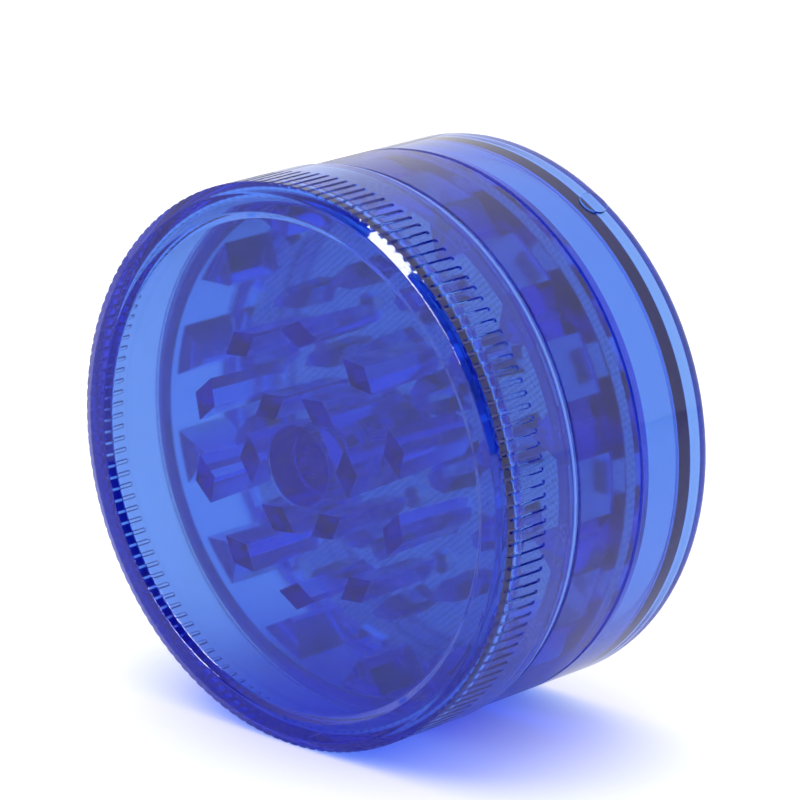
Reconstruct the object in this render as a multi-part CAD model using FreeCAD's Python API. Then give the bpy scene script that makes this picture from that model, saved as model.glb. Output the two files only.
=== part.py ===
import FreeCAD, Part
import math
import os

from FreeCAD import Vector

# A hand-held twist grinder: lid, slip ring, toothed chamber, sieve and catch cup on one upright axis.
# Sizes are in millimetres, and heights are measured up from the table under the base.

# Catch cup
body_radius = 29.7
base_height = 10.8
base_wall = 2.4
base_floor = 1.8
foot_recess = 1.4
foot_width = 3.0
foot_round = 1.1
cup_round = 1.0

# Screw socket in the base, and the sieve on its ledge
socket_wall = 1.5
socket_depth = 1.8
thread_clearance = 0.25
sieve_thickness = 0.3
sieve_clearance = 0.3
face_gap = 0.05

# Chamber
seam_gap = 0.15
chamber_height = 9.6
chamber_wall = 2.9
chamber_floor = 2.2
chamber_depth = 7.15
neck_wall = 1.95
spigot_height = 0.9
chamber_round = 0.8

# Slip ring
slip_ring_thickness = 0.55
slip_ring_inset = 0.1
slip_ring_clearance = 0.2

# Lid
lid_overhang = 0.3
lid_height = 11.1
lid_wall = 1.4
lid_plate = 2.2
lid_clearance = 0.25
rim_width = 3.1
rim_slope = 1.2
face_recess = 0.6
crown_width = 1.1
crown_drop = 0.5
crown_round = 0.6
lid_round = 1.0

# Knurled grip around the top of the lid
groove_count = 144
groove_width = 0.45
groove_depth = 0.25
grip_length = 5.1

# Centre pivot: a pin on the chamber's post turns in the lid's boss
boss_radius = 4.1
boss_gap = 0.1
post_height = 9.1
pin_radius = 1.65
pin_length = 2.4
pivot_clearance = 0.08
pivot_depth = 3.0

# Diamond teeth: the rings of the lid turn between the rings of the chamber
tooth_half_width = 1.5
tooth_half_length = 2.6
tooth_shoulder = 0.86
tooth_tip = 0.4
tip_length = 2.0
tooth_pitch = 8.6
tooth_clearance = 0.6
wall_clearance = 4.1
lid_tooth_length = 11.7
chamber_tooth_length = 7.2
lid_tooth_phase = -4.3

# Wall teeth, and the openings in the chamber's floor
wall_tooth_count = 14
wall_tooth_width = 6.3
wall_tooth_depth = 3.5
wall_tooth_edge = 0.6
wall_tooth_drop = 0.15
slot_width = 1.6
slot_length = 3.4
slot_margin = 0.5
drop_hole_radius = 1.2

# Small rounds on moulded edges, and how far a tooth runs into its carrier
edge_round = 0.3
root_overlap = 0.3

# Heights that follow from the sizes above
cup_floor_top = foot_recess + base_floor
ledge_height = base_height - socket_depth
sieve_bottom = ledge_height + face_gap
sieve_top = sieve_bottom + sieve_thickness
neck_bottom = sieve_top + face_gap
chamber_bottom = base_height + seam_gap
shoulder_height = chamber_bottom + chamber_height
chamber_floor_top = shoulder_height - chamber_depth
chamber_floor_bottom = chamber_floor_top - chamber_floor
spigot_top = shoulder_height + spigot_height
post_top = chamber_floor_top + post_height
pin_top = post_top + pin_length
slip_ring_bottom = shoulder_height + face_gap
lid_bottom = slip_ring_bottom + slip_ring_thickness + face_gap
lid_top = lid_bottom + lid_height
face_height = lid_top - face_recess
plate_bottom = face_height - lid_plate
boss_bottom = post_top + boss_gap
grip_bottom = lid_top - crown_drop - grip_length

# Radii that follow from the sizes above
lid_radius = body_radius + lid_overhang
socket_radius = body_radius - socket_wall
cup_radius = body_radius - base_wall
chamber_bore = body_radius - chamber_wall
neck_radius = socket_radius - thread_clearance
neck_bore = neck_radius - neck_wall
lid_bore = lid_radius - lid_wall
spigot_radius = lid_bore - lid_clearance

# Rings of teeth from the wall inwards: the chamber has the first, and the lid every second one
ring_step = 2 * tooth_half_width + tooth_clearance
outer_ring = chamber_bore - wall_tooth_depth - wall_clearance - tooth_half_width
inner_limit = boss_radius + tooth_half_width + tooth_clearance
ring_total = 1 + int((outer_ring - inner_limit) / ring_step)
ring_radii = [outer_ring - index * ring_step for index in range(ring_total)]
chamber_rings = ring_radii[0::2]
lid_rings = ring_radii[1::2]

centre = Vector(0, 0, 0)
upright = Vector(0, 0, 1)
full_turn = 360.0


def corner_arc(before, corner, after, radius):
    """Start, middle and end of the tangent arc that rounds a corner, limited by its two sides."""
    back = (before - corner).normalize()
    ahead = (after - corner).normalize()
    half_angle = back.getAngle(ahead) / 2
    shortest_side = min((before - corner).Length, (after - corner).Length)
    reach = min(radius / math.tan(half_angle), 0.45 * shortest_side)
    inward = (back + ahead).normalize()
    to_middle = reach / math.cos(half_angle) - reach * math.tan(half_angle)
    return corner + back * reach, corner + inward * to_middle, corner + ahead * reach


def turned(corners):
    """Turn a closed half section about the axis. Each corner is (radius, height, round)."""
    points = [Vector(radius, 0, height) for radius, height, _ in corners]
    edges = []
    pen = None
    for index, (_, _, radius) in enumerate(corners):
        corner = points[index]
        entry, leave = corner, corner
        arc = None
        if radius > 0:
            entry, middle, leave = corner_arc(points[index - 1], corner, points[(index + 1) % len(points)], radius)
            arc = Part.Arc(entry, middle, leave).toShape()
        if pen is None:
            first = entry
        else:
            edges.append(Part.LineSegment(pen, entry).toShape())
        if arc:
            edges.append(arc)
        pen = leave
    edges.append(Part.LineSegment(pen, first).toShape())
    return Part.Face(Part.Wire(edges)).revolve(centre, upright, full_turn)


def around(shape, count, phase=0.0):
    """Copies of a shape, spaced evenly about the axis."""
    copies = []
    for index in range(count):
        copy = shape.copy()
        copy.rotate(centre, upright, phase + index * full_turn / count)
        copies.append(copy)
    return copies


def joined(body, additions):
    """One solid from a moulding and the features that stand on it."""
    return body.multiFuse(additions).removeSplitter().Solids[0]


def diamond(scale, height):
    """Outline of a diamond tooth at one height, centred on the axis."""
    width = tooth_half_width * scale
    length = tooth_half_length * scale
    tips = [Vector(width, 0, height), Vector(0, length, height), Vector(-width, 0, height), Vector(0, -length, height)]
    return Part.makePolygon(tips + tips[:1])


def diamond_tooth(ring_radius, root_height, length, direction):
    """Diamond tooth with draft and a steep point, standing up (1) or hanging down (-1) from its carrier."""
    sections = [
        diamond(1.0, root_height - direction * root_overlap),
        diamond(tooth_shoulder, root_height + direction * (length - tip_length)),
        diamond(tooth_tip, root_height + direction * length),
    ]
    tooth = Part.makeLoft(sections, True, True)
    tooth.translate(Vector(ring_radius, 0, 0))
    return tooth


def ring_count(ring_radius):
    """Teeth that fit on a ring at the tooth pitch, in opposite pairs."""
    return 2 * round(math.pi * ring_radius / tooth_pitch)


def tooth_rings(radii, root_height, length, direction, phase=0.0):
    """Rings of diamond teeth on one carrier."""
    teeth = []
    for radius in radii:
        tooth = diamond_tooth(radius, root_height, length, direction)
        teeth += around(tooth, ring_count(radius), phase)
    return teeth


def grip_groove():
    """Cutter for one groove of the grip, with a rounded-off lower end, open at the crown."""
    half = groove_width / 2
    bottom = lid_radius - groove_depth
    outline = [
        Vector(bottom, -half, lid_top),
        Vector(bottom, -half, grip_bottom + half),
        Vector(bottom, -half / 2, grip_bottom),
        Vector(bottom, half / 2, grip_bottom),
        Vector(bottom, half, grip_bottom + half),
        Vector(bottom, half, lid_top),
    ]
    face = Part.Face(Part.makePolygon(outline + outline[:1]))
    return face.extrude(Vector(2 * groove_depth, 0, 0))


def wall_tooth():
    """Upright three-sided tooth on the chamber's wall, with its edge towards the axis."""
    half_root = wall_tooth_width / 2
    half_edge = wall_tooth_edge / 2
    root = math.sqrt(chamber_bore ** 2 - half_root ** 2) + root_overlap
    edge = chamber_bore - wall_tooth_depth
    bottom = chamber_floor_top - root_overlap
    outline = [
        Vector(root, -half_root, bottom),
        Vector(root, half_root, bottom),
        Vector(edge, half_edge, bottom),
        Vector(edge, -half_edge, bottom),
    ]
    face = Part.Face(Part.makePolygon(outline + outline[:1]))
    return face.extrude(Vector(0, 0, chamber_depth - wall_tooth_drop + root_overlap))


def floor_slot():
    """Cutter for one slot in the chamber's floor, beside the wall and between two wall teeth."""
    half = slot_length / 2
    outer = math.sqrt(neck_bore ** 2 - half ** 2) - slot_margin
    slot = Part.makeBox(slot_width, slot_length, 2 * chamber_floor)
    slot.translate(Vector(outer - slot_width, -half, chamber_floor_bottom - chamber_floor / 2))
    return slot


def drop_holes():
    """Cutters for the holes under the lid's rings of teeth."""
    holes = []
    for radius in lid_rings:
        count = ring_count(radius)
        hole = Part.makeCylinder(drop_hole_radius, 2 * chamber_floor)
        hole.translate(Vector(radius, 0, chamber_floor_bottom - chamber_floor / 2))
        holes += around(hole, count, full_turn / (2 * count))
    return holes


def build_lid():
    """Lid: rim, face, skirt and boss in one turned section, with the grip cut in and the teeth added."""
    rim_inside = lid_radius - rim_width
    shell = turned([
        (0, boss_bottom + pivot_depth, 0),
        (pin_radius + pivot_clearance, boss_bottom + pivot_depth, 0),
        (pin_radius + pivot_clearance, boss_bottom, 0),
        (boss_radius, boss_bottom, edge_round),
        (boss_radius, plate_bottom, edge_round),
        (lid_bore, plate_bottom, lid_round),
        (lid_bore, lid_bottom, edge_round),
        (lid_radius, lid_bottom, edge_round),
        (lid_radius, lid_top - crown_drop, 0),
        (lid_radius - crown_width, lid_top, crown_round),
        (rim_inside, lid_top, edge_round),
        (rim_inside - rim_slope, face_height, edge_round),
        (0, face_height, 0),
    ])
    grooves = Part.makeCompound(around(grip_groove(), groove_count))
    teeth = tooth_rings(lid_rings, plate_bottom, lid_tooth_length, -1, lid_tooth_phase)
    return joined(shell.cut(grooves), teeth)


def build_slip_ring():
    """Flat ring that the lid turns on."""
    inside = spigot_radius + slip_ring_clearance
    outside = body_radius - slip_ring_inset
    top = slip_ring_bottom + slip_ring_thickness
    return turned([
        (inside, slip_ring_bottom, 0),
        (outside, slip_ring_bottom, 0),
        (outside, top, 0),
        (inside, top, 0),
    ])


def build_chamber():
    """Grinding chamber: wall, floor, post and screw neck in one turned section, then its openings and teeth."""
    shell = turned([
        (0, chamber_floor_bottom, 0),
        (neck_bore, chamber_floor_bottom, 0),
        (neck_bore, neck_bottom, 0),
        (neck_radius, neck_bottom, edge_round),
        (neck_radius, chamber_bottom, 0),
        (body_radius, chamber_bottom, edge_round),
        (body_radius, shoulder_height, edge_round),
        (spigot_radius, shoulder_height, 0),
        (spigot_radius, spigot_top, edge_round),
        (chamber_bore, spigot_top, edge_round),
        (chamber_bore, chamber_floor_top, chamber_round),
        (boss_radius, chamber_floor_top, chamber_round),
        (boss_radius, post_top, edge_round),
        (pin_radius, post_top, 0),
        (pin_radius, pin_top, edge_round),
        (0, pin_top, 0),
    ])
    half_pitch = full_turn / (2 * wall_tooth_count)
    openings = Part.makeCompound(around(floor_slot(), wall_tooth_count) + drop_holes())
    floor_teeth = tooth_rings(chamber_rings, chamber_floor_top, chamber_tooth_length, 1)
    return joined(shell.cut(openings), floor_teeth + around(wall_tooth(), wall_tooth_count, half_pitch))


def build_sieve():
    """Round of woven wire, as a plain disc of its outer size."""
    sieve_radius = socket_radius - sieve_clearance
    return turned([
        (0, sieve_bottom, 0),
        (sieve_radius, sieve_bottom, 0),
        (sieve_radius, sieve_top, 0),
        (0, sieve_top, 0),
    ])


def build_base():
    """Catch cup with its foot ring below and its screw socket above."""
    foot_inside = body_radius - foot_width
    return turned([
        (0, foot_recess, 0),
        (foot_inside, foot_recess, edge_round),
        (foot_inside, 0, edge_round),
        (body_radius, 0, foot_round),
        (body_radius, base_height, edge_round),
        (socket_radius, base_height, edge_round),
        (socket_radius, ledge_height, 0),
        (cup_radius, ledge_height, edge_round),
        (cup_radius, cup_floor_top, cup_round),
        (0, cup_floor_top, 0),
    ])


pieces = {
    "base": build_base,
    "sieve": build_sieve,
    "chamber": build_chamber,
    "slip_ring": build_slip_ring,
    "lid": build_lid,
}

os.makedirs("parts", exist_ok=True)
for node, build in pieces.items():
    solid = build()
    solid.exportStep(f"parts/{node}.step")
    print(node, len(solid.Solids), "solid", round(solid.Volume, 1), "mm3", solid.isValid())
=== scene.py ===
"""Dresses the twist grinder's CAD frame: clear blue mouldings, a slip ring, a woven sieve and a studio stage."""

import math

import bmesh
import bpy
from bpy.props import FloatProperty, FloatVectorProperty, IntProperty, PointerProperty
from mathutils import Matrix, Vector


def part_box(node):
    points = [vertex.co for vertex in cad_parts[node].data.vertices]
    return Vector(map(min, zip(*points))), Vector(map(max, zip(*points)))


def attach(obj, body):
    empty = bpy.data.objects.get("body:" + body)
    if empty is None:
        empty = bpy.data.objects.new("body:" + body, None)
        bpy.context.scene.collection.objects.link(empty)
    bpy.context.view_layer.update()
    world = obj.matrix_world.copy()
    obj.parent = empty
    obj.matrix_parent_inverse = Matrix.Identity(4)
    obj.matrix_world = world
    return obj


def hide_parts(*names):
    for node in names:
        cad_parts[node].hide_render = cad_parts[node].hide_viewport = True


bl_info = {
    "name": "Twist Grinder",
    "version": (1, 0, 0),
    "blender": (4, 5, 0),
    "location": "3D View > Sidebar > Grinder",
    "description": "Builds the mouldings, sieve and stage of a hand twist grinder over its CAD frame",
    "category": "Object",
}

MM = 0.001
TURN = math.tau

# How closely wedges are welded, how deep a feature's root sits in its wall, and the air between faces that meet
WELD = 0.0005 * MM
ROOT_OVERLAP = 0.3 * MM
FACE_GAP = 0.05 * MM
# Wedges in a plain turned wall, and columns of faces in each of them
SECTORS = 3
SECTOR_COLUMNS = 72

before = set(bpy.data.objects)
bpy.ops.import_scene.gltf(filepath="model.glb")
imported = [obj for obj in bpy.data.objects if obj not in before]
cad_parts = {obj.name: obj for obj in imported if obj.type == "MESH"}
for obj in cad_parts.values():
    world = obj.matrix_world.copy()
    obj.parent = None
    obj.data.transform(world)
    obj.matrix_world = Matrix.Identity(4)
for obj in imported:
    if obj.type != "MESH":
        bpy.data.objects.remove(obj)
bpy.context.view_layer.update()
lid_low, lid_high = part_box("lid")
ring_low, ring_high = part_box("slip_ring")
chamber_low, chamber_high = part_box("chamber")
sieve_low, sieve_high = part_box("sieve")
base_low, base_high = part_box("base")


# Settings


def size(name, millimetres, description):
    """A length that the user can change, given in millimetres."""
    return FloatProperty(name=name, description=description, default=millimetres * MM, unit="LENGTH", precision=5)


def to_linear(colour):
    """Linear red, green and blue of an sRGB hex colour."""
    channels = [int(colour[index:index + 2], 16) / 255 for index in (1, 3, 5)]
    return [value / 12.92 if value <= 0.04045 else ((value + 0.055) / 1.055) ** 2.4 for value in channels]


def colour(name, hex_value, description):
    """A colour that the user can change, given as sRGB hex."""
    return FloatVectorProperty(
        name=name, description=description, default=to_linear(hex_value), subtype="COLOR", min=0.0, max=1.0
    )


def fraction(name, default, description):
    """A share between nothing and the whole that the user can change."""
    return FloatProperty(name=name, description=description, default=default, subtype="FACTOR", min=0.0, max=1.0)


def bearing(name, degrees, description):
    """An angle about the axis that the user can change, given in degrees."""
    return FloatProperty(name=name, description=description, default=math.radians(degrees), subtype="ANGLE")


class LidSettings(bpy.types.PropertyGroup):
    wall: size("Wall", 1.4, "Thickness of the skirt")
    plate: size("Plate", 2.2, "Thickness of the face")
    rim_width: size("Rim width", 3.1, "Width of the raised rim, with its crown")
    rim_slope: size("Rim slope", 0.7, "Width of the slope from the rim down to the face")
    face_recess: size("Face recess", 0.6, "Depth of the face below the rim")
    crown_width: size("Crown width", 1.1, "Width of the bevel around the rim")
    crown_drop: size("Crown drop", 0.5, "Height of the bevel around the rim")
    crown_round: size("Crown round", 0.6, "Round between the bevel and the rim")
    inner_round: size("Inner round", 1.0, "Round between the face and the skirt, inside")
    boss_radius: size("Boss radius", 4.1, "Radius of the centre boss and of the post below it")
    boss_gap: size("Boss gap", 0.1, "Air between the boss and the post")
    pivot_clearance: size("Pivot clearance", 0.08, "Air around the pivot pin")
    pivot_depth: size("Pivot depth", 3.0, "Depth of the pivot hole")
    groove_count: IntProperty(name="Grooves", description="Grooves around the grip", default=144, min=3)
    groove_width: size("Groove width", 0.5, "Width of one groove of the grip")
    groove_depth: size("Groove depth", 0.22, "Depth of one groove of the grip")
    grip_length: size("Grip length", 5.8, "Length of the grooves below the crown")


class ChamberSettings(bpy.types.PropertyGroup):
    wall: size("Wall", 2.9, "Thickness of the wall")
    depth: size("Depth", 7.15, "Depth of the floor below the shoulder")
    floor: size("Floor", 2.2, "Thickness of the floor")
    neck_radius: size("Neck radius", 27.95, "Outside of the screw neck")
    neck_wall: size("Neck wall", 1.95, "Thickness of the screw neck")
    seam: size("Seam", 0.15, "Gap between the chamber and the base")
    spigot_radius: size("Spigot radius", 28.35, "Outside of the collar that the lid runs on")
    spigot_height: size("Spigot height", 0.9, "Height of the collar above the shoulder")
    inner_round: size("Inner round", 0.8, "Round around the floor")
    post_height: size("Post height", 9.1, "Height of the centre post above the floor")
    pin_radius: size("Pin radius", 1.65, "Radius of the pivot pin")
    thread_height: size("Thread height", 0.16, "Height of the thread on the neck")
    thread_lead: size("Thread lead", 4.5, "Rise of the three-start thread in one turn")
    slot_width: size("Slot width", 1.6, "Width of the slots beside the wall")
    slot_length: size("Slot length", 3.4, "Length of the slots beside the wall")
    slot_margin: size("Slot margin", 0.5, "Floor left between a slot and the neck")
    hole_radius: size("Hole radius", 1.2, "Radius of the holes under the lid's teeth")


class ToothSettings(bpy.types.PropertyGroup):
    half_width: size("Half width", 1.5, "Half of a diamond tooth, across its ring")
    half_length: size("Half length", 2.6, "Half of a diamond tooth, along its ring")
    shoulder: fraction("Shoulder", 0.86, "Share of the root left below the point")
    tip: fraction("Tip", 0.4, "Share of the root left at the tip")
    tip_length: size("Tip length", 2.0, "Length of the point")
    pitch: size("Pitch", 8.6, "Spacing of the teeth along their rings")
    clearance: size("Clearance", 0.6, "Air between two rings of teeth")
    wall_clearance: size("Wall clearance", 4.1, "Air between the outer ring and the wall teeth")
    chamber_length: size("Chamber tooth length", 7.2, "Height of the chamber's teeth above its floor")
    lid_phase: bearing("Lid phase", -4.3, "Turn of the lid's teeth")
    wall_count: IntProperty(name="Wall teeth", description="Teeth around the chamber's wall", default=14, min=3)
    wall_width: size("Wall tooth width", 6.3, "Width of a wall tooth at its root")
    wall_depth: size("Wall tooth depth", 3.5, "How far a wall tooth stands out")
    wall_edge: size("Wall tooth edge", 0.6, "Width of a wall tooth's inner edge")
    wall_drop: size("Wall tooth drop", 0.15, "Distance of a wall tooth's top below the shoulder")


class SlipRingSettings(bpy.types.PropertyGroup):
    clearance: size("Clearance", 0.2, "Air between the ring and the chamber's collar")
    edge_round: size("Edge round", 0.1, "Round on the ring's edges")


class BaseSettings(bpy.types.PropertyGroup):
    wall: size("Wall", 2.4, "Thickness of the cup's wall")
    floor: size("Floor", 1.8, "Thickness of the cup's floor")
    foot_recess: size("Foot recess", 1.4, "Height of the floor above the table")
    foot_width: size("Foot width", 3.0, "Width of the foot ring")
    foot_round: size("Foot round", 1.1, "Round around the foot")
    cup_round: size("Cup round", 1.0, "Round between the cup's floor and wall")
    socket_wall: size("Socket wall", 1.5, "Thickness of the wall around the screw socket")
    socket_depth: size("Socket depth", 1.8, "Depth of the screw socket")
    gate_radius: size("Gate radius", 1.5, "Radius of the mark that the mould's gate leaves")
    gate_rise: size("Gate rise", 0.2, "How far the gate's mark stands out")
    gate_level: size("Gate level", 2.5, "Height of the gate's mark above the table")
    gate_azimuth: bearing("Gate azimuth", 289.0, "Place of the gate's mark around the base")


class SieveSettings(bpy.types.PropertyGroup):
    # A fine sieve's weave is too small to show, so it is drawn as coarse as it needs to be seen.
    pitch: size("Pitch", 0.6, "Spacing of the wires")
    wire: size("Wire", 0.15, "Diameter of a wire")


class PlasticSettings(bpy.types.PropertyGroup):
    skin: colour("Skin", "#ffffff", "Colour that white light keeps where it passes a wall's surface")
    tint: colour("Tint", "#85c6f9", "Colour that white light keeps on its way through")
    satin: fraction("Satin", 0.09, "Roughness of the inside of the mouldings")
    scuff: fraction("Scuff", 0.24, "Roughness of the chamber's handled wall")
    depth: FloatProperty(name="Tint depth", description="Absorption of the dye, per metre", default=720.0, min=0.0)
    edge_round: size("Edge round", 0.3, "Round on the mouldings' edges")


class StageSettings(bpy.types.PropertyGroup):
    floor_azimuth: bearing("Floor azimuth", -39.5, "Direction of the floor's upper side about the grinder's axis")
    floor_size: FloatProperty(name="Floor size", description="Width of the floor", default=4.0, unit="LENGTH")
    floor_front: FloatProperty(
        name="Floor front", description="How far the paper comes forward of the grinder", default=0.35, unit="LENGTH"
    )
    paper: colour("Paper", "#fcfcfc", "Colour of the floor")
    paper_inside: colour("Paper inside", "#dadada", "Colour of the floor as seen in and through the grinder")
    camera_place: FloatVectorProperty(
        name="Camera", description="Place of the camera", default=(-0.10033, -0.36009, 0.38346), subtype="TRANSLATION"
    )
    camera_aim: FloatVectorProperty(
        name="Aim", description="Point in the middle of the picture", default=(0.00081, -0.00975, 0.02263),
        subtype="TRANSLATION",
    )
    lens: FloatProperty(name="Lens", description="Focal length in millimetres", default=225.0)


class GrinderSettings(bpy.types.PropertyGroup):
    lid: PointerProperty(type=LidSettings)
    chamber: PointerProperty(type=ChamberSettings)
    teeth: PointerProperty(type=ToothSettings)
    slip_ring: PointerProperty(type=SlipRingSettings)
    base: PointerProperty(type=BaseSettings)
    sieve: PointerProperty(type=SieveSettings)
    plastic: PointerProperty(type=PlasticSettings)
    stage: PointerProperty(type=StageSettings)


def settings():
    return bpy.context.scene.grinder


# Nodes and materials


def add_node(tree, kind, inputs=None, **properties):
    """Adds a node, sets its properties, and gives its inputs their values or links."""
    node = tree.nodes.new(kind)
    for key, value in properties.items():
        setattr(node, key, value)
    for key, value in (inputs or {}).items():
        if isinstance(value, bpy.types.NodeSocket):
            tree.links.new(value, node.inputs[key])
        else:
            node.inputs[key].default_value = value
    return node


def empty_material(name):
    material = bpy.data.materials.new(name)
    material.use_nodes = True
    material.node_tree.nodes.clear()
    return material, material.node_tree


def moulded_blue_acrylic():
    """Dyed clear acrylic: glossy outside with faint flow marks, scuffed around the chamber and satin inside.

    It is pale in a thin wall and violet along a plate, and lets blue light fall on the paper.
    """
    material, tree = empty_material("moulded_blue_acrylic")
    plastic = settings().plastic
    flow_spacing = 8.333 * MM
    flow_height = 0.1 * MM
    handling_spacing = 5.0 * MM
    flank_depth = 0.5 * MM
    crown_depth = 1.0 * MM
    place = add_node(tree, "ShaderNodeTexCoord")
    flow = add_node(
        tree, "ShaderNodeTexNoise", {"Vector": place.outputs["Object"], "Scale": 1 / flow_spacing, "Detail": 2.0}
    )
    ripple = add_node(
        tree, "ShaderNodeBump", {"Height": flow.outputs["Fac"], "Strength": 0.03, "Distance": flow_height}
    )
    handling = add_node(
        tree, "ShaderNodeTexNoise", {"Vector": place.outputs["Object"], "Scale": 1 / handling_spacing, "Detail": 1.0}
    )
    polish = add_node(
        tree, "ShaderNodeMapRange", {"Value": handling.outputs["Fac"], "To Min": 0.02, "To Max": 0.05}
    )
    axes = add_node(tree, "ShaderNodeSeparateXYZ", {0: place.outputs["Object"]})
    flat = add_node(tree, "ShaderNodeCombineXYZ", {"X": axes.outputs["X"], "Y": axes.outputs["Y"]})
    reach = add_node(tree, "ShaderNodeVectorMath", {0: flat.outputs[0]}, operation="LENGTH")
    flank = add_node(
        tree, "ShaderNodeMath", {0: reach.outputs["Value"], 1: base_high[0] - flank_depth}, operation="GREATER_THAN"
    )
    top = add_node(
        tree, "ShaderNodeMath", {0: axes.outputs["Z"], 1: lid_high[2] - crown_depth}, operation="GREATER_THAN"
    )
    outside = add_node(tree, "ShaderNodeMath", {0: flank.outputs[0], 1: top.outputs[0]}, operation="MAXIMUM")
    chamber_middle = (base_high[2] + ring_low[2]) / 2
    chamber_reach = (ring_low[2] - base_high[2]) / 2
    handled = add_node(
        tree, "ShaderNodeMath", {0: axes.outputs["Z"], 1: chamber_middle, 2: chamber_reach}, operation="COMPARE"
    )
    worn = add_node(
        tree, "ShaderNodeMix", {"Factor": handled.outputs[0], "A": polish.outputs["Result"], "B": plastic.scuff}
    )
    gloss = add_node(
        tree, "ShaderNodeMix", {"Factor": outside.outputs[0], "A": plastic.satin, "B": worn.outputs["Result"]}
    )
    surface = add_node(
        tree, "ShaderNodeBsdfPrincipled",
        {
            "Base Color": (*plastic.skin, 1.0),
            "Roughness": gloss.outputs["Result"],
            "IOR": 1.49,
            "Transmission Weight": 1.0,
            "Normal": ripple.outputs["Normal"],
        },
    )
    clear = add_node(tree, "ShaderNodeBsdfTransparent")
    path = add_node(tree, "ShaderNodeLightPath")
    falling = add_node(
        tree, "ShaderNodeMath", {0: path.outputs["Is Shadow Ray"], 1: path.outputs["Is Diffuse Ray"]},
        operation="MAXIMUM",
    )
    wall = add_node(
        tree, "ShaderNodeMixShader",
        {0: falling.outputs[0], 1: surface.outputs["BSDF"], 2: clear.outputs["BSDF"]},
    )
    dye = add_node(
        tree, "ShaderNodeVolumeAbsorption", {"Color": (*plastic.tint, 1.0), "Density": plastic.depth}
    )
    add_node(tree, "ShaderNodeOutputMaterial", {"Surface": wall.outputs["Shader"], "Volume": dye.outputs["Volume"]})
    return material


def woven_stainless_wire():
    """Drawn stainless wire: bright grey metal with a soft sheen, a little darker where the drawing left it dull."""
    material, tree = empty_material("woven_stainless_wire")
    place = add_node(tree, "ShaderNodeTexCoord")
    drawing_spacing = 0.6667 * MM
    drawn = add_node(
        tree, "ShaderNodeTexNoise", {"Vector": place.outputs["Object"], "Scale": 1 / drawing_spacing, "Detail": 2.0}
    )
    steel = add_node(tree, "ShaderNodeValToRGB", {"Fac": drawn.outputs["Fac"]})
    steel.color_ramp.elements[0].color = (*to_linear("#54585a"), 1.0)
    steel.color_ramp.elements[1].color = (*to_linear("#8a8d90"), 1.0)
    polish = add_node(tree, "ShaderNodeMapRange", {"Value": drawn.outputs["Fac"], "To Min": 0.25, "To Max": 0.45})
    surface = add_node(
        tree, "ShaderNodeBsdfPrincipled",
        {"Base Color": steel.outputs["Color"], "Metallic": 1.0, "Roughness": polish.outputs["Result"]},
    )
    add_node(tree, "ShaderNodeOutputMaterial", {"Surface": surface.outputs["BSDF"]})
    return material


def studio_paper():
    """Matt white paper, a little darker in and through the grinder than it looks by itself.

    Its back is clear, so that the grinder can be looked at from behind it.
    """
    material, tree = empty_material("studio_paper")
    path = add_node(tree, "ShaderNodeLightPath")
    # Sockets 6 and 7 are the two colours of the mix, and output 2 is its result.
    shade = add_node(
        tree, "ShaderNodeMix",
        {
            "Factor": path.outputs["Is Camera Ray"],
            6: (*settings().stage.paper_inside, 1.0),
            7: (*settings().stage.paper, 1.0),
        },
        data_type="RGBA",
    )
    paper = add_node(tree, "ShaderNodeBsdfDiffuse", {"Color": shade.outputs[2]})
    clear = add_node(tree, "ShaderNodeBsdfTransparent")
    side = add_node(tree, "ShaderNodeNewGeometry")
    sheet = add_node(
        tree, "ShaderNodeMixShader",
        {0: side.outputs["Backfacing"], 1: paper.outputs["BSDF"], 2: clear.outputs["BSDF"]},
    )
    add_node(tree, "ShaderNodeOutputMaterial", {"Surface": sheet.outputs["Shader"]})
    return material


def shared(maker):
    """The material of that maker, made once."""
    return bpy.data.materials.get(maker.__name__) or maker()


# Geometry node trees


def new_tree(name, **sockets):
    """A geometry tree with named inputs, its group input node, and the identifiers of those inputs."""
    tree = bpy.data.node_groups.new(name, "GeometryNodeTree")
    tree.interface.new_socket("Geometry", in_out="OUTPUT", socket_type="NodeSocketGeometry")
    tree.interface.new_socket("Geometry", in_out="INPUT", socket_type="NodeSocketGeometry")
    for label, kind in sockets.items():
        tree.interface.new_socket(label.replace("_", " "), in_out="INPUT", socket_type="NodeSocket" + kind)
    return tree, tree.nodes.new("NodeGroupInput").outputs


def copies_about_axis(tree, source, count, phase):
    """Nodes that set copies of one shape evenly about the upright axis, as real geometry."""
    shape = add_node(tree, "GeometryNodeObjectInfo", {"Object": source})
    points = add_node(tree, "GeometryNodePoints", {"Count": count})
    step = add_node(tree, "ShaderNodeMath", {0: TURN, 1: count}, operation="DIVIDE")
    index = add_node(tree, "GeometryNodeInputIndex")
    turn = add_node(
        tree, "ShaderNodeMath", {0: index.outputs["Index"], 1: step.outputs[0], 2: phase}, operation="MULTIPLY_ADD"
    )
    spin = add_node(tree, "ShaderNodeCombineXYZ", {"Z": turn.outputs[0]})
    ring = add_node(
        tree, "GeometryNodeInstanceOnPoints",
        {"Points": points.outputs[0], "Instance": shape.outputs["Geometry"], "Rotation": spin.outputs[0]},
    )
    return add_node(tree, "GeometryNodeRealizeInstances", {"Geometry": ring.outputs[0]}).outputs[0]


def end_tree(tree, geometry, material):
    painted = add_node(tree, "GeometryNodeSetMaterial", {"Geometry": geometry, "Material": material})
    add_node(tree, "NodeGroupOutput", {"Geometry": painted.outputs[0]})
    return tree


def turned_wall_tree():
    """One wedge of a turned wall, set around the axis and welded into a closed moulding."""
    tree, given = new_tree("turned_wall", Wedge="Object", Copies="Int", Weld="Float", Material="Material")
    ring = copies_about_axis(tree, given["Wedge"], given["Copies"], 0.0)
    closed = add_node(tree, "GeometryNodeMergeByDistance", {"Geometry": ring, "Distance": given["Weld"]})
    return end_tree(tree, closed.outputs[0], given["Material"])


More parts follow.
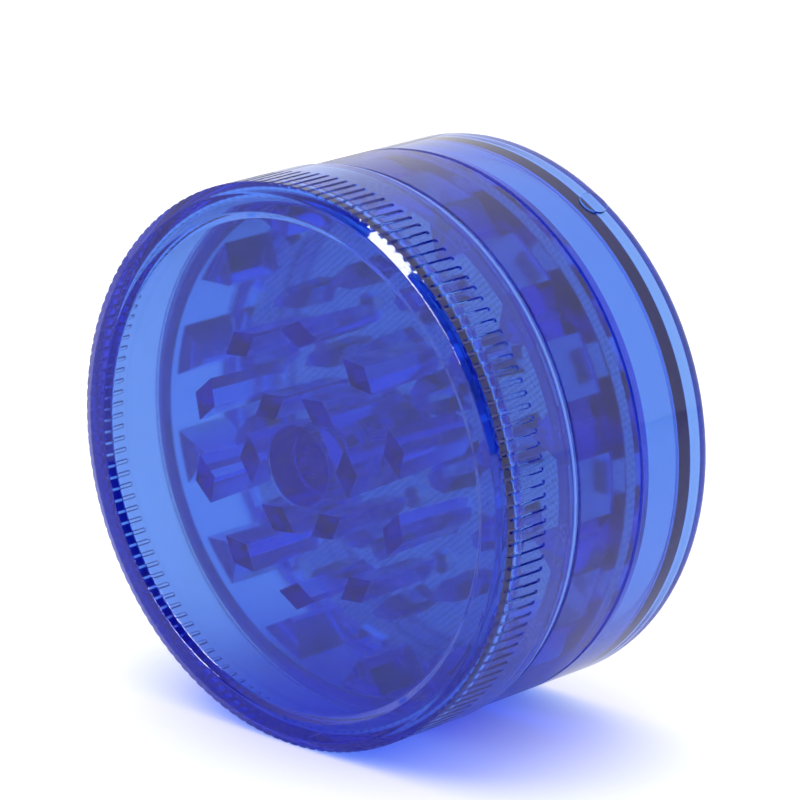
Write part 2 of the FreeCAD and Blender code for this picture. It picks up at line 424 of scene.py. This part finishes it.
def moulded_features_tree():
    """One tooth or mark, set around the axis and moulded on to a wall."""
    tree, given = new_tree("moulded_features", Feature="Object", Copies="Int", Phase="Float", Material="Material")
    ring = copies_about_axis(tree, given["Feature"], given["Copies"], given["Phase"])
    whole = add_node(tree, "GeometryNodeMeshBoolean", operation="UNION", solver="EXACT")
    tree.links.new(given["Geometry"], whole.inputs["Mesh 2"])
    tree.links.new(ring, whole.inputs["Mesh 2"])
    return end_tree(tree, whole.outputs["Mesh"], given["Material"])


def moulded_openings_tree():
    """One opening, set around the axis and cut out of a wall."""
    tree, given = new_tree("moulded_openings", Feature="Object", Copies="Int", Phase="Float", Material="Material")
    ring = copies_about_axis(tree, given["Feature"], given["Copies"], given["Phase"])
    whole = add_node(
        tree, "GeometryNodeMeshBoolean", {"Mesh 1": given["Geometry"], "Mesh 2": ring},
        operation="DIFFERENCE", solver="EXACT",
    )
    return end_tree(tree, whole.outputs["Mesh"], given["Material"])


def woven_wire_tree():
    """Two families of waved wires over and under each other, cut to a round."""
    tree, given = new_tree(
        "woven_wire", Radius="Float", Pitch="Float", Wire="Float", Wave="Float", Height="Float", Material="Material"
    )
    across = add_node(tree, "ShaderNodeMath", {0: given["Radius"], 1: given["Pitch"]}, operation="DIVIDE")
    half = add_node(tree, "ShaderNodeMath", {0: across.outputs[0]}, operation="FLOOR")
    wires = add_node(tree, "ShaderNodeMath", {0: half.outputs[0], 1: 2.0, 2: 1.0}, operation="MULTIPLY_ADD")
    knots = add_node(tree, "ShaderNodeMath", {0: half.outputs[0], 1: 4.0, 2: 1.0}, operation="MULTIPLY_ADD")
    reach = add_node(tree, "ShaderNodeMath", {0: half.outputs[0], 1: given["Pitch"]}, operation="MULTIPLY")
    low = add_node(tree, "ShaderNodeMath", {0: reach.outputs[0], 1: -1.0}, operation="MULTIPLY")
    half_pitch = add_node(tree, "ShaderNodeMath", {0: given["Pitch"], 1: 0.5}, operation="MULTIPLY")
    wire_start = add_node(tree, "ShaderNodeCombineXYZ", {"X": low.outputs[0]})
    wire_step = add_node(tree, "ShaderNodeCombineXYZ", {"X": half_pitch.outputs[0]})
    row_start = add_node(tree, "ShaderNodeCombineXYZ", {"Y": low.outputs[0]})
    row_step = add_node(tree, "ShaderNodeCombineXYZ", {"Y": given["Pitch"]})
    wire = add_node(
        tree, "GeometryNodeMeshLine",
        {"Count": knots.outputs[0], "Start Location": wire_start.outputs[0], "Offset": wire_step.outputs[0]},
    )
    rows = add_node(
        tree, "GeometryNodeMeshLine",
        {"Count": wires.outputs[0], "Start Location": row_start.outputs[0], "Offset": row_step.outputs[0]},
    )
    laid = add_node(tree, "GeometryNodeInstanceOnPoints", {"Points": rows.outputs[0], "Instance": wire.outputs[0]})
    family = add_node(tree, "GeometryNodeRealizeInstances", {"Geometry": laid.outputs[0]})
    place = add_node(tree, "GeometryNodeInputPosition")
    axes = add_node(tree, "ShaderNodeSeparateXYZ", {0: place.outputs[0]})
    phase_step = add_node(tree, "ShaderNodeMath", {0: math.pi, 1: given["Pitch"]}, operation="DIVIDE")
    along = add_node(tree, "ShaderNodeMath", {0: axes.outputs["X"], 1: phase_step.outputs[0]}, operation="MULTIPLY")
    aside = add_node(tree, "ShaderNodeMath", {0: axes.outputs["Y"], 1: phase_step.outputs[0]}, operation="MULTIPLY")
    wave_along = add_node(tree, "ShaderNodeMath", {0: along.outputs[0]}, operation="COSINE")
    wave_aside = add_node(tree, "ShaderNodeMath", {0: aside.outputs[0]}, operation="COSINE")
    weave = add_node(
        tree, "ShaderNodeMath", {0: wave_along.outputs[0], 1: wave_aside.outputs[0]}, operation="MULTIPLY"
    )
    rise = add_node(tree, "ShaderNodeMath", {0: weave.outputs[0], 1: given["Wave"]}, operation="MULTIPLY")
    lift = add_node(tree, "ShaderNodeCombineXYZ", {"Z": rise.outputs[0]})
    waved = add_node(tree, "GeometryNodeSetPosition", {"Geometry": family.outputs[0], "Offset": lift.outputs[0]})
    distance = add_node(tree, "ShaderNodeVectorMath", {0: place.outputs[0]}, operation="LENGTH")
    beyond = add_node(
        tree, "FunctionNodeCompare", {0: distance.outputs["Value"], 1: given["Radius"]}, operation="GREATER_THAN"
    )
    trimmed = add_node(
        tree, "GeometryNodeDeleteGeometry", {"Geometry": waved.outputs[0], "Selection": beyond.outputs[0]},
        domain="POINT",
    )
    path = add_node(tree, "GeometryNodeMeshToCurve", {"Mesh": trimmed.outputs[0]})
    half_wire = add_node(tree, "ShaderNodeMath", {0: given["Wire"], 1: 0.5}, operation="MULTIPLY")
    wire_sides = 3
    gauge = add_node(
        tree, "GeometryNodeCurvePrimitiveCircle", {"Resolution": wire_sides, "Radius": half_wire.outputs[0]}
    )
    round_wire = add_node(
        tree, "GeometryNodeCurveToMesh",
        {"Curve": path.outputs[0], "Profile Curve": gauge.outputs[0], "Fill Caps": True},
    )
    other = add_node(
        tree, "GeometryNodeTransform", {"Geometry": round_wire.outputs[0], "Rotation": (math.pi, 0.0, math.pi / 2)}
    )
    both = tree.nodes.new("GeometryNodeJoinGeometry")
    tree.links.new(round_wire.outputs[0], both.inputs[0])
    tree.links.new(other.outputs[0], both.inputs[0])
    level = add_node(tree, "ShaderNodeCombineXYZ", {"Z": given["Height"]})
    seated = add_node(
        tree, "GeometryNodeTransform", {"Geometry": both.outputs[0], "Translation": level.outputs[0]}
    )
    cloth = add_node(tree, "GeometryNodeRealizeInstances", {"Geometry": seated.outputs[0]})
    return end_tree(tree, cloth.outputs[0], given["Material"])


def add_tree(host, maker, **values):
    """Puts a tree on an object as a modifier and sets its inputs by their identifiers."""
    tree = bpy.data.node_groups.get(maker.__name__.removesuffix("_tree")) or maker()
    modifier = host.modifiers.new(tree.name, "NODES")
    modifier.node_group = tree
    for item in tree.interface.items_tree:
        label = item.name.replace(" ", "_")
        if item.in_out == "INPUT" and label in values:
            modifier[item.identifier] = values[label]


# Shapes


def new_object(name, mesh):
    item = bpy.data.objects.new(name, mesh)
    bpy.context.scene.collection.objects.link(item)
    return item


def mesh_object(name, build):
    """An object whose mesh is filled by a function that gets a bmesh."""
    shape = bmesh.new()
    build(shape)
    mesh = bpy.data.meshes.new(name)
    shape.to_mesh(mesh)
    shape.free()
    return new_object(name, mesh)


def rounded_section(corners, steps=5, support=0.05 * MM):
    """Outline of a turned wall from (radius, height, round) corners, with a short edge beside each round."""
    longest_share = 0.45
    support_share = 0.04
    outline = []
    for index, (radius, height, round_off) in enumerate(corners):
        corner = Vector((radius, height))
        if round_off == 0.0:
            outline.append(corner)
            continue
        back = Vector(corners[index - 1][:2]) - corner
        ahead = Vector(corners[(index + 1) % len(corners)][:2]) - corner
        half = back.angle(ahead) / 2
        shortest = min(back.length, ahead.length)
        reach = min(round_off / math.tan(half), longest_share * shortest)
        side = min(support, support_share * shortest)
        back.normalize()
        ahead.normalize()
        middle = corner + (back + ahead).normalized() * (reach / math.cos(half))
        first = corner + back * reach - middle
        sweep = first.angle_signed(corner + ahead * reach - middle)
        outline.append(corner + back * (reach + side))
        for step in range(steps + 1):
            angle = -sweep * step / steps
            turned = Vector((
                first.x * math.cos(angle) - first.y * math.sin(angle),
                first.x * math.sin(angle) + first.y * math.cos(angle),
            ))
            outline.append(middle + turned)
        outline.append(corner + ahead * (reach + side))
    return outline


def wedge(name, section, angles, relief=None):
    """Open wedge of a turned wall: the section swept through the angles, with relief giving each point's radius."""

    def build(shape):
        rows = []
        for angle in angles:
            row = []
            for radius, height in section:
                reach = relief(radius, height, angle) if relief else radius
                row.append(shape.verts.new((reach * math.cos(angle), reach * math.sin(angle), height)))
            rows.append(row)
        for near, far in zip(rows, rows[1:]):
            for index in range(len(section)):
                follower = (index + 1) % len(section)
                if section[index][0] > 0.0 or section[follower][0] > 0.0:
                    shape.faces.new((near[index], far[index], far[follower], near[follower]))

    return mesh_object(name, build)


def even_angles(copies, columns):
    return [TURN / copies * step / columns for step in range(columns + 1)]


def turned_host(name, section, copies=SECTORS, angles=None, relief=None):
    """Host of a turned moulding whose tree repeats one wedge, and that wedge."""
    pattern = wedge(f"{name}_wedge", section, angles or even_angles(copies, SECTOR_COLUMNS), relief)
    host = blank_host(f"{name}_blank")
    add_tree(
        host, turned_wall_tree, Wedge=pattern, Copies=copies, Weld=WELD, Material=shared(moulded_blue_acrylic)
    )
    return host, pattern


def stacked(name, plans):
    """Closed solid through level plans, each a list of (x, y) points with its height."""

    def build(shape):
        rows = [[shape.verts.new((x, y, height)) for x, y in plan] for plan, height in plans]
        for below, above in zip(rows, rows[1:]):
            for index in range(len(below)):
                follower = (index + 1) % len(below)
                shape.faces.new((below[index], below[follower], above[follower], above[index]))
        shape.faces.new(rows[0][::-1])
        shape.faces.new(rows[-1])
        bmesh.ops.recalc_face_normals(shape, faces=shape.faces)

    return mesh_object(name, build)


def diamond_tooth(name, ring_radius, root, tip):
    """Diamond tooth with draft and a steep point, from its root height to its tip height."""
    teeth = settings().teeth
    way = 1.0 if tip > root else -1.0
    levels = [
        (1.0, root - way * ROOT_OVERLAP),
        (teeth.shoulder, tip - way * teeth.tip_length),
        (teeth.tip, tip),
    ]
    plans = []
    for share, height in levels:
        width = teeth.half_width * share
        length = teeth.half_length * share
        plan = ((width, 0.0), (0.0, length), (-width, 0.0), (0.0, -length))
        plans.append(([(ring_radius + x, y) for x, y in plan], height))
    return stacked(name, plans)


def prism(name, plan, bottom, top):
    """Upright prism on a plan of (x, y) points."""
    return stacked(name, [(plan, bottom), (plan, top)])


def circle_plan(x, radius, points=32):
    return [
        (x + radius * math.cos(TURN * step / points), radius * math.sin(TURN * step / points))
        for step in range(points)
    ]


def seat(name, host, helpers, node, crease=math.radians(30)):
    """Turns a host's modifiers into a plain mesh that rides on its body in the place of its CAD node."""
    evaluated = host.evaluated_get(bpy.context.evaluated_depsgraph_get())
    mesh = bpy.data.meshes.new_from_object(evaluated)
    mesh.name = name
    if not mesh.polygons:
        raise RuntimeError(f"{name} has no faces")
    mesh.shade_smooth()
    mesh.set_sharp_from_angle(angle=crease)
    piece = new_object(name, mesh)
    for item in [host, *helpers]:
        bpy.data.objects.remove(item)
    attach(piece, node)
    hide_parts(node)
    return piece


def blank_host(name):
    return new_object(name, bpy.data.meshes.new(name))


# Places shared by the lid and the chamber


def shoulder_height():
    """Top of the chamber's outer wall, just under the slip ring."""
    return ring_low[2] - FACE_GAP


def chamber_floor_top():
    return shoulder_height() - settings().chamber.depth


def post_top():
    return chamber_floor_top() + settings().chamber.post_height


def chamber_bore():
    return base_high[0] - settings().chamber.wall


def tooth_ring_radii():
    """Radii of the rings of teeth from the wall inwards, by turns the chamber's and the lid's."""
    teeth = settings().teeth
    step = 2 * teeth.half_width + teeth.clearance
    outer = chamber_bore() - teeth.wall_depth - teeth.wall_clearance - teeth.half_width
    limit = settings().lid.boss_radius + teeth.half_width + teeth.clearance
    return [outer - index * step for index in range(1 + int((outer - limit) / step))]


def ring_count(radius):
    return 2 * round(math.pi * radius / settings().teeth.pitch)


def add_tooth_rings(host, radii, root, tip, phase):
    """Moulds rings of diamond teeth on to a wall, and returns their patterns."""
    patterns = []
    for radius in radii:
        tooth = diamond_tooth("tooth_pattern", radius, root, tip)
        add_tree(
            host, moulded_features_tree, Feature=tooth, Copies=ring_count(radius), Phase=phase,
            Material=shared(moulded_blue_acrylic),
        )
        patterns.append(tooth)
    return patterns


# Pieces


class GRINDER_OT_lid(bpy.types.Operator):
    """Build the lid with its grip, boss and teeth"""

    bl_idname = "grinder.lid"
    bl_label = "Lid"

    def execute(self, context):
        lid = context.scene.grinder.lid
        edge = context.scene.grinder.plastic.edge_round
        radius = lid_high[0]
        top = lid_high[2]
        bottom = ring_high[2] + FACE_GAP
        bore = radius - lid.wall
        face = top - lid.face_recess
        under = face - lid.plate
        boss_bottom = post_top() + lid.boss_gap
        pivot = context.scene.grinder.chamber.pin_radius + lid.pivot_clearance
        rim_inside = radius - lid.rim_width
        grip_top = top - lid.crown_drop
        grip_bottom = grip_top - lid.grip_length
        half_groove = lid.groove_width / 2

        # Rows of points over the bevel and at both ends of the grooves, and columns across one groove
        crown_shares = (0.0, 0.12, 0.24, 0.36, 0.48)
        end_shares = (0.0, 0.15, 0.4, 0.7, 1.0, 1.4)
        start_shares = (2.0, 1.0)
        groove_shares = (-1.05, -0.85, -0.55, 0.0, 0.55, 0.85, 1.05)
        crown = [
            (radius - lid.crown_width * share, top - lid.crown_drop * (1 - share), 0.0) for share in crown_shares
        ]
        grip_end = [(radius, grip_bottom + half_groove * share, 0.0) for share in end_shares]
        grip_start = [(radius, grip_top - half_groove * share, 0.0) for share in start_shares]
        section = rounded_section([
            (0.0, boss_bottom + lid.pivot_depth, 0.0),
            (pivot, boss_bottom + lid.pivot_depth, 0.0),
            (pivot, boss_bottom, 0.0),
            (lid.boss_radius, boss_bottom, edge),
            (lid.boss_radius, under, edge),
            (bore, under, lid.inner_round),
            (bore, bottom, edge),
            (radius, bottom, edge),
            *grip_end,
            *grip_start,
            *crown,
            (radius - lid.crown_width, top, lid.crown_round),
            (rim_inside, top, edge),
            (rim_inside - lid.rim_slope, face, edge),
            (0.0, face, 0.0),
        ])
        pitch = TURN / lid.groove_count
        across = [share * half_groove / radius for share in groove_shares]
        angles = [*across, pitch / 2, pitch + across[0]]

        def grooved(reach, height, angle):
            """Radius in a round-ended groove with steep sides, which is shallower beside the crown."""
            least_depth = 0.35
            side_slope = 1.8
            offset = (angle if angle < pitch / 2 else angle - pitch) * radius
            below = max(0.0, grip_bottom + half_groove - height)
            spread = math.hypot(offset, below) / half_groove
            fade = max(least_depth, min(1.0, (grip_top - height) / (2 * half_groove)))
            depth = lid.groove_depth * fade * max(0.0, min(1.0, side_slope * (1.0 - spread ** 2)))
            return min(reach, radius - depth)

        host, pattern = turned_host("lid", section, lid.groove_count, angles, grooved)
        phase = context.scene.grinder.teeth.lid_phase
        helpers = add_tooth_rings(host, tooth_ring_radii()[1::2], under, lid_low[2], phase)
        seat("lid_moulding", host, [pattern, *helpers], "lid")
        return {"FINISHED"}


class GRINDER_OT_slip_ring(bpy.types.Operator):
    """Build the loose ring between the lid and the chamber"""

    bl_idname = "grinder.slip_ring"
    bl_label = "Slip ring"

    def execute(self, context):
        ring = context.scene.grinder.slip_ring
        inside = context.scene.grinder.chamber.spigot_radius + ring.clearance
        outside = ring_high[0]
        section = rounded_section([
            (inside, ring_low[2], ring.edge_round),
            (outside, ring_low[2], ring.edge_round),
            (outside, ring_high[2], ring.edge_round),
            (inside, ring_high[2], ring.edge_round),
        ], steps=3)
        host, pattern = turned_host("ring", section)
        seat("slip_ring_strip", host, [pattern], "slip_ring")
        return {"FINISHED"}


class GRINDER_OT_chamber(bpy.types.Operator):
    """Build the grinding chamber with its wall teeth, floor teeth, openings and screw neck"""

    bl_idname = "grinder.chamber"
    bl_label = "Grinding chamber"

    def execute(self, context):
        grinder = context.scene.grinder
        chamber = grinder.chamber
        teeth = grinder.teeth
        edge = grinder.plastic.edge_round
        outside = base_high[0]
        bore = chamber_bore()
        shoulder = shoulder_height()
        floor_top = chamber_floor_top()
        floor_bottom = floor_top - chamber.floor
        bottom = base_high[2] + chamber.seam
        neck_bottom = chamber_low[2]
        neck_bore = chamber.neck_radius - chamber.neck_wall
        spigot_top = shoulder + chamber.spigot_height
        boss = grinder.lid.boss_radius

        thread_rows = 14
        plain_share = 0.25
        row_shares = [plain_share + (1 - plain_share) * row / thread_rows for row in range(thread_rows)]
        neck_rows = [
            (chamber.neck_radius, neck_bottom + (bottom - neck_bottom) * share, 0.0) for share in row_shares
        ]
        section = rounded_section([
            (0.0, floor_bottom, 0.0),
            (neck_bore, floor_bottom, 0.0),
            (neck_bore, neck_bottom, 0.0),
            (chamber.neck_radius, neck_bottom, edge),
            *neck_rows,
            (chamber.neck_radius, bottom, 0.0),
            (outside, bottom, edge),
            (outside, shoulder, edge),
            (chamber.spigot_radius, shoulder, 0.0),
            (chamber.spigot_radius, spigot_top, edge),
            (bore, spigot_top, edge),
            (bore, floor_top, chamber.inner_round),
            (boss, floor_top, chamber.inner_round),
            (boss, post_top(), edge),
            (chamber.pin_radius, post_top(), 0.0),
            (chamber.pin_radius, chamber_high[2], edge),
            (0.0, chamber_high[2], 0.0),
        ])

        def threaded(reach, height, angle):
            """Radius on the neck's three-start ridge, which fades out at both ends."""
            near = 0.01 * MM
            starts = 3
            if abs(reach - chamber.neck_radius) > near or not neck_bottom + edge < height < bottom:
                return reach
            turns = (height - neck_bottom) / chamber.thread_lead - angle / TURN
            ridge = max(0.0, math.cos(TURN * starts * turns))
            fade = min(1.0, (height - neck_bottom - edge) / edge, (bottom - height) / edge)
            return reach + chamber.thread_height * ridge * fade

        host, pattern = turned_host("chamber", section, relief=threaded)
        acrylic = shared(moulded_blue_acrylic)

        half_root = teeth.wall_width / 2
        half_edge = teeth.wall_edge / 2
        root = math.sqrt(bore ** 2 - half_root ** 2) + ROOT_OVERLAP
        inner = bore - teeth.wall_depth
        wall_tooth = prism(
            "wall_tooth_pattern",
            [(root, -half_root), (root, half_root), (inner, half_edge), (inner, -half_edge)],
            floor_top - ROOT_OVERLAP,
            shoulder - teeth.wall_drop,
        )
        add_tree(
            host, moulded_features_tree, Feature=wall_tooth, Copies=teeth.wall_count,
            Phase=TURN / (2 * teeth.wall_count), Material=acrylic,
        )
        radii = tooth_ring_radii()
        helpers = add_tooth_rings(host, radii[0::2], floor_top, floor_top + teeth.chamber_length, 0.0)

        half_slot = chamber.slot_length / 2
        slot_outside = math.sqrt(neck_bore ** 2 - half_slot ** 2) - chamber.slot_margin
        slot_inside = slot_outside - chamber.slot_width
        cut_past = 0.5 * MM
        below = floor_bottom - cut_past
        above = floor_top + cut_past
        slot = prism(
            "slot_pattern",
            [
                (slot_inside, -half_slot),
                (slot_outside, -half_slot),
                (slot_outside, half_slot),
                (slot_inside, half_slot),
            ],
            below, above,
        )
        add_tree(
            host, moulded_openings_tree, Feature=slot, Copies=teeth.wall_count, Phase=0.0, Material=acrylic
        )
        helpers += [wall_tooth, slot]
        for radius in radii[1::2]:
            count = ring_count(radius)
            hole = prism("hole_pattern", circle_plan(radius, chamber.hole_radius), below, above)
            add_tree(
                host, moulded_openings_tree, Feature=hole, Copies=count, Phase=TURN / (2 * count), Material=acrylic
            )
            helpers.append(hole)
        seat("chamber_moulding", host, [pattern, *helpers], "chamber")
        return {"FINISHED"}


class GRINDER_OT_sieve(bpy.types.Operator):
    """Weave the round wire sieve under the chamber"""

    bl_idname = "grinder.sieve"
    bl_label = "Sieve"

    def execute(self, context):
        sieve = context.scene.grinder.sieve
        room = sieve_high[2] - sieve_low[2]
        slack = 0.005 * MM
        host = blank_host("sieve_blank")
        add_tree(
            host, woven_wire_tree, Radius=sieve_high[0] - sieve.wire, Pitch=sieve.pitch, Wire=sieve.wire,
            Wave=(room - sieve.wire) / 2 - slack, Height=(sieve_low[2] + sieve_high[2]) / 2,
            Material=shared(woven_stainless_wire),
        )
        seat("sieve_mesh", host, [], "sieve", crease=math.radians(95))
        return {"FINISHED"}


class GRINDER_OT_base(bpy.types.Operator):
    """Build the catch cup with its foot, socket and gate mark"""

    bl_idname = "grinder.base"
    bl_label = "Base"

    def execute(self, context):
        base = context.scene.grinder.base
        edge = context.scene.grinder.plastic.edge_round
        outside = base_high[0]
        top = base_high[2]
        cup = outside - base.wall
        socket = outside - base.socket_wall
        ledge = top - base.socket_depth
        floor_top = base.foot_recess + base.floor
        foot_inside = outside - base.foot_width
        section = rounded_section([
            (0.0, base.foot_recess, 0.0),
            (foot_inside, base.foot_recess, edge),
            (foot_inside, base_low[2], edge),
            (outside, base_low[2], base.foot_round),
            (outside, top, edge),
            (socket, top, edge),
            (socket, ledge, 0.0),
            (cup, ledge, edge),
            (cup, floor_top, base.cup_round),
            (0.0, floor_top, 0.0),
        ])
        host, pattern = turned_host("base", section)
        gate = prism("gate_pattern", circle_plan(0.0, base.gate_radius), -ROOT_OVERLAP, base.gate_rise)
        turn = Matrix.Rotation(math.pi / 2, 4, "Y")
        gate.data.transform(Matrix.Translation((outside, 0.0, base.gate_level)) @ turn)
        add_tree(
            host, moulded_features_tree, Feature=gate, Copies=1, Phase=base.gate_azimuth,
            Material=shared(moulded_blue_acrylic),
        )
        seat("base_moulding", host, [pattern, gate], "base")
        return {"FINISHED"}


class GRINDER_OT_stage(bpy.types.Operator):
    """Set up the paper floor, the lights and the camera"""

    bl_idname = "grinder.stage"
    bl_label = "Stage"

    def execute(self, context):
        scene = context.scene
        stage = scene.grinder.stage
        up = Vector((math.cos(stage.floor_azimuth), math.sin(stage.floor_azimuth), 0.0))
        place = Vector(stage.camera_place)
        look = (Vector(stage.camera_aim) - place).normalized()
        side = look.cross(up).normalized()
        away = up.cross(side)
        middle = Vector((0.0, 0.0, lid_high[2] / 2))
        contact = middle - up * lid_high[0]

        def build(shape):
            half = stage.floor_size / 2
            front = -stage.floor_front
            corners = ((-half, front), (half, front), (half, half), (-half, half))
            shape.faces.new([shape.verts.new(contact + side * x + away * y) for x, y in corners])

        floor = mesh_object("paper_floor", build)
        floor.data.materials.append(shared(studio_paper))

        camera = bpy.data.cameras.new("photo_camera")
        camera.lens = stage.lens
        camera.sensor_width = 36.0
        camera.clip_start = 0.01
        viewer = new_object("photo_camera", camera)
        viewer.matrix_world = aimed(place, look, up)
        scene.camera = viewer

        # Each lamp's name, offset from the grinder's middle, width, height and power, and whether it lights the paper
        lamps = (
            ("overhead_softbox", up * 0.65 + away * 0.02 - side * 0.06, 0.8, 0.8, 3.4, True),
            ("side_strip", up * 0.135 - away * 0.25 - side * 0.43, 0.09, 0.30, 2.1, False),
        )
        for name, offset, width, height, power, on_paper in lamps:
            light = bpy.data.lights.new(name, "AREA")
            light.shape = "RECTANGLE"
            light.size = width
            light.size_y = height
            light.energy = power
            lamp = new_object(name, light)
            lamp.matrix_world = aimed(middle + offset, -offset.normalized(), away if on_paper else up)
            lamp.visible_diffuse = on_paper
            lamp.visible_glossy = not on_paper
            lamp.visible_transmission = False

        world = bpy.data.worlds.new("studio")
        scene.world = world
        world.use_nodes = True
        tree = world.node_tree
        tree.nodes.clear()
        way = add_node(tree, "ShaderNodeTexCoord")
        # The room is bright all round, apart from a dark side that gives the walls their deep edges.
        dark_side = (up * 0.15 - away * 0.75 - side * 0.64).normalized()
        dark_edge, dark_core = 0.66, 0.87
        bright_level, dark_level = 1.15, 0.06
        towards = add_node(
            tree, "ShaderNodeVectorMath", {0: way.outputs["Generated"], 1: dark_side}, operation="DOT_PRODUCT"
        )
        level = add_node(
            tree, "ShaderNodeMapRange",
            {
                "Value": towards.outputs["Value"],
                "From Min": dark_edge,
                "From Max": dark_core,
                "To Min": bright_level,
                "To Max": dark_level,
            },
            interpolation_type="SMOOTHSTEP",
        )
        room = add_node(
            tree, "ShaderNodeBackground", {"Color": (1.0, 1.0, 1.0, 1.0), "Strength": level.outputs["Result"]}
        )
        white = add_node(tree, "ShaderNodeBackground", {"Color": (1.0, 1.0, 1.0, 1.0), "Strength": 1.0})
        path = add_node(tree, "ShaderNodeLightPath")
        backdrop = add_node(
            tree, "ShaderNodeMixShader",
            {0: path.outputs["Is Camera Ray"], 1: room.outputs[0], 2: white.outputs[0]},
        )
        add_node(tree, "ShaderNodeOutputWorld", {"Surface": backdrop.outputs[0]})

        scene.view_settings.view_transform = "Standard"
        bounces = 28
        scene.cycles.max_bounces = bounces
        scene.cycles.transmission_bounces = bounces
        scene.cycles.glossy_bounces = bounces
        scene.cycles.transparent_max_bounces = 64
        return {"FINISHED"}


def aimed(place, look, up):
    """Matrix of a camera or lamp at a place that looks along a direction, with the given upper side."""
    right = look.cross(up).normalized()
    top = right.cross(look)
    matrix = Matrix((right, top, -look)).transposed().to_4x4()
    matrix.translation = place
    return matrix


class GRINDER_PT_panel(bpy.types.Panel):
    bl_idname = "GRINDER_PT_panel"
    bl_label = "Twist grinder"
    bl_space_type = "VIEW_3D"
    bl_region_type = "UI"
    bl_category = "Grinder"

    def draw(self, context):
        layout = self.layout
        for operator in OPERATORS:
            layout.operator(operator.bl_idname)
        for name in GrinderSettings.__annotations__:
            box = layout.box()
            box.label(text=name.replace("_", " ").capitalize())
            group = getattr(context.scene.grinder, name)
            for key in type(group).__annotations__:
                box.prop(group, key)


OPERATORS = (
    GRINDER_OT_base,
    GRINDER_OT_sieve,
    GRINDER_OT_chamber,
    GRINDER_OT_slip_ring,
    GRINDER_OT_lid,
    GRINDER_OT_stage,
)
CLASSES = (
    LidSettings,
    ChamberSettings,
    ToothSettings,
    SlipRingSettings,
    BaseSettings,
    SieveSettings,
    PlasticSettings,
    StageSettings,
    GrinderSettings,
    *OPERATORS,
    GRINDER_PT_panel,
)


def register():
    for item in CLASSES:
        bpy.utils.register_class(item)
    bpy.types.Scene.grinder = PointerProperty(type=GrinderSettings)


def unregister():
    del bpy.types.Scene.grinder
    for item in reversed(CLASSES):
        bpy.utils.unregister_class(item)


def main():
    register()
    bpy.ops.grinder.base()
    bpy.ops.grinder.sieve()
    bpy.ops.grinder.chamber()
    bpy.ops.grinder.slip_ring()
    bpy.ops.grinder.lid()
    bpy.ops.grinder.stage()


if __name__ == "__main__":
    main()
